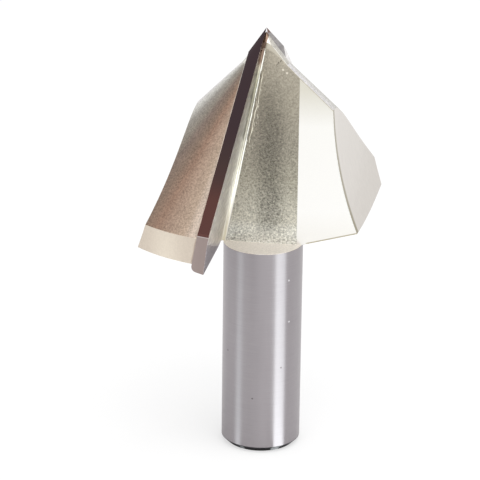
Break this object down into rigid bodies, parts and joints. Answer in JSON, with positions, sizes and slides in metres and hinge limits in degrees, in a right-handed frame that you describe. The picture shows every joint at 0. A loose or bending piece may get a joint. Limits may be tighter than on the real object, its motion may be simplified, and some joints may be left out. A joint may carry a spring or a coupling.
{
  "type": "v groove router bit",
  "caption": "V groove router bit: round steel shank and milled conical head with carbide plates brazed in along the wings, for cutting right-angled grooves.",
  "frame": {"origin": "centre of the flat end of the shank", "axes": "+Z along the axis of the bit, from the shank to the point; +X to the right and +Y away from the viewer in the picture"},
  "size_m": [0.0384, 0.0482, 0.0695],
  "materials": {
    "steel": "blasted head with a ground shank",
    "carbide": "ground to a dark mirror on the outside",
    "braze": "bright, pale silver braze"
  },
  "bodies": {
    "root": {"body": "steel", "plate_1": "carbide", "plate_2": "carbide", "braze_1": "braze", "braze_2": "braze"}
  },
  "joints": []
}
